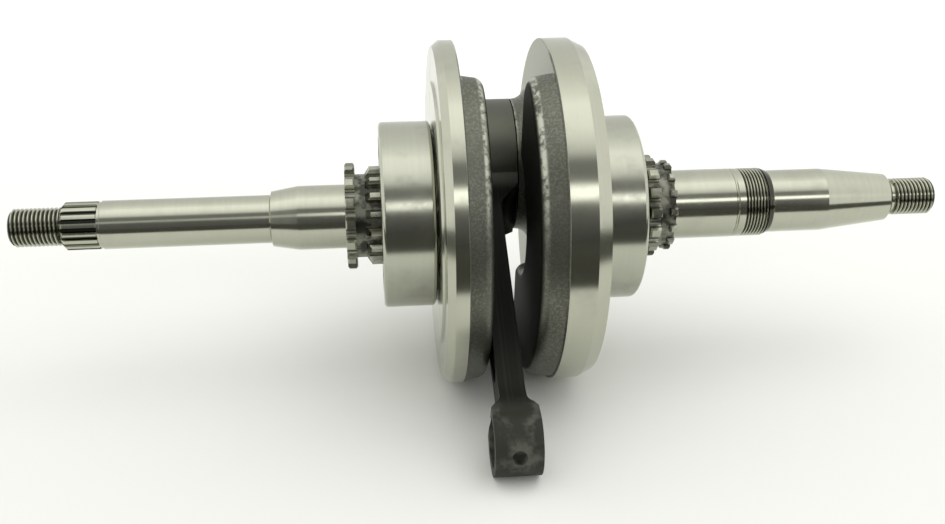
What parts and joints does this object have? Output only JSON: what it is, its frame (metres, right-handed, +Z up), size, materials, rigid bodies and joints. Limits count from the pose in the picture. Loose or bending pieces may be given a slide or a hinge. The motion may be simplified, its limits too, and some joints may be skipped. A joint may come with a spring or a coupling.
{
  "type": "crankshaft",
  "caption": "Pressed-up single-cylinder scooter crankshaft with main bearings, chain wheels and a connecting rod on its crank pin.",
  "frame": {"origin": "centre of the left main bearing, on the crank axis", "axes": "+X along the crank axis from the splined end to the tapered end, +Z up, -Y the side the rod leans to"},
  "size_m": [0.2915, 0.1279, 0.107],
  "materials": {
    "crank_steel": "turned and ground, with dark forged cheeks",
    "pin_steel": "ground",
    "sprocket_steel": "hardened, satin",
    "rod_forging": "dark forged",
    "cage_steel": "pressed sheet",
    "ball_steel": "polished",
    "bearing_steel": "ground"
  },
  "bodies": {
    "bearing_outer_rings": {"left_bearing_outer_ring": "bearing_steel", "right_bearing_outer_ring": "bearing_steel"},
    "crank": {"left_crank_half": "crank_steel", "right_crank_half": "crank_steel", "crank_pin": "pin_steel", "left_sprocket": "sprocket_steel", "right_sprocket": "sprocket_steel", "left_bearing_inner_ring": "bearing_steel", "right_bearing_inner_ring": "bearing_steel"},
    "left_ball_set": {"left_bearing_ball_01": "ball_steel", "left_bearing_ball_02": "ball_steel", "left_bearing_ball_03": "ball_steel", "left_bearing_ball_04": "ball_steel", "left_bearing_ball_05": "ball_steel", "left_bearing_ball_06": "ball_steel", "left_bearing_ball_07": "ball_steel", "left_bearing_ball_08": "ball_steel", "left_bearing_ball_09": "ball_steel", "left_bearing_cage_outboard": "cage_steel", "left_bearing_cage_inboard": "cage_steel", "left_bearing_cage_rivets": "cage_steel"},
    "right_ball_set": {"right_bearing_ball_01": "ball_steel", "right_bearing_ball_02": "ball_steel", "right_bearing_ball_03": "ball_steel", "right_bearing_ball_04": "ball_steel", "right_bearing_ball_05": "ball_steel", "right_bearing_ball_06": "ball_steel", "right_bearing_ball_07": "ball_steel", "right_bearing_ball_08": "ball_steel", "right_bearing_ball_09": "ball_steel", "right_bearing_cage_outboard": "cage_steel", "right_bearing_cage_inboard": "cage_steel", "right_bearing_cage_rivets": "cage_steel"},
    "rod": {"connecting_rod": "rod_forging"},
    "needle_set": {"big_end_cage": "cage_steel", "big_end_roller_01": "ball_steel", "big_end_roller_02": "ball_steel", "big_end_roller_03": "ball_steel", "big_end_roller_04": "ball_steel", "big_end_roller_05": "ball_steel", "big_end_roller_06": "ball_steel", "big_end_roller_07": "ball_steel", "big_end_roller_08": "ball_steel", "big_end_roller_09": "ball_steel", "big_end_roller_10": "ball_steel", "big_end_roller_11": "ball_steel", "big_end_roller_12": "ball_steel", "big_end_roller_13": "ball_steel", "big_end_roller_14": "ball_steel"}
  },
  "joints": [
    {"name": "crank_spin", "type": "hinge", "parent": "bearing_outer_rings", "child": "crank", "pos_m": [0, 0, 0], "axis": [1, 0, 0], "continuous": true},
    {"name": "left_ball_orbit", "type": "hinge", "parent": "bearing_outer_rings", "child": "left_ball_set", "pos_m": [0, 0, 0], "axis": [1, 0, 0], "continuous": true},
    {"name": "right_ball_orbit", "type": "hinge", "parent": "bearing_outer_rings", "child": "right_ball_set", "pos_m": [0.0628, 0, 0], "axis": [1, 0, 0], "continuous": true},
    {"name": "rod_swing", "type": "hinge", "parent": "crank", "child": "rod", "pos_m": [0.0266, 0.02953, 0.00531], "axis": [1, 0, 0], "continuous": true},
    {"name": "needle_orbit", "type": "hinge", "parent": "crank", "child": "needle_set", "pos_m": [0.0266, 0.02953, 0.00531], "axis": [1, 0, 0], "continuous": true}
  ],
  "couplings": [
    {"joint": "left_ball_orbit", "follows": "crank_spin", "ratio": 0.3985},
    {"joint": "right_ball_orbit", "follows": "crank_spin", "ratio": 0.3985},
    {"joint": "needle_orbit", "follows": "rod_swing", "ratio": 0.5609}
  ]
}
